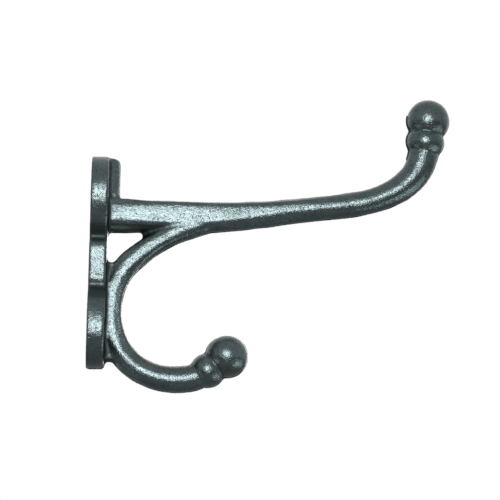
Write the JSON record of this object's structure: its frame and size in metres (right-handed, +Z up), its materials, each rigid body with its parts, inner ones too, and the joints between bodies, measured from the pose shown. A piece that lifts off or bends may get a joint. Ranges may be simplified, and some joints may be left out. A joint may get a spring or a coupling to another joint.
{
  "type": "harness hook",
  "caption": "One-piece cast iron harness hook: long ball-ended upper arm and curled ball-ended lower hook on a waisted, screw-on wall plate.",
  "frame": {"origin": "centre of the plate's back face, midway between the four screw holes", "axes": "+X straight out from the wall along the upper arm, Y across the plate, +Z up the plate"},
  "size_m": [0.151, 0.032, 0.1283],
  "materials": {
    "cast_iron": "as-cast, fine sand grain with a dark pewter sheen"
  },
  "bodies": {
    "root": {"harness_hook": "cast_iron"}
  },
  "joints": []
}
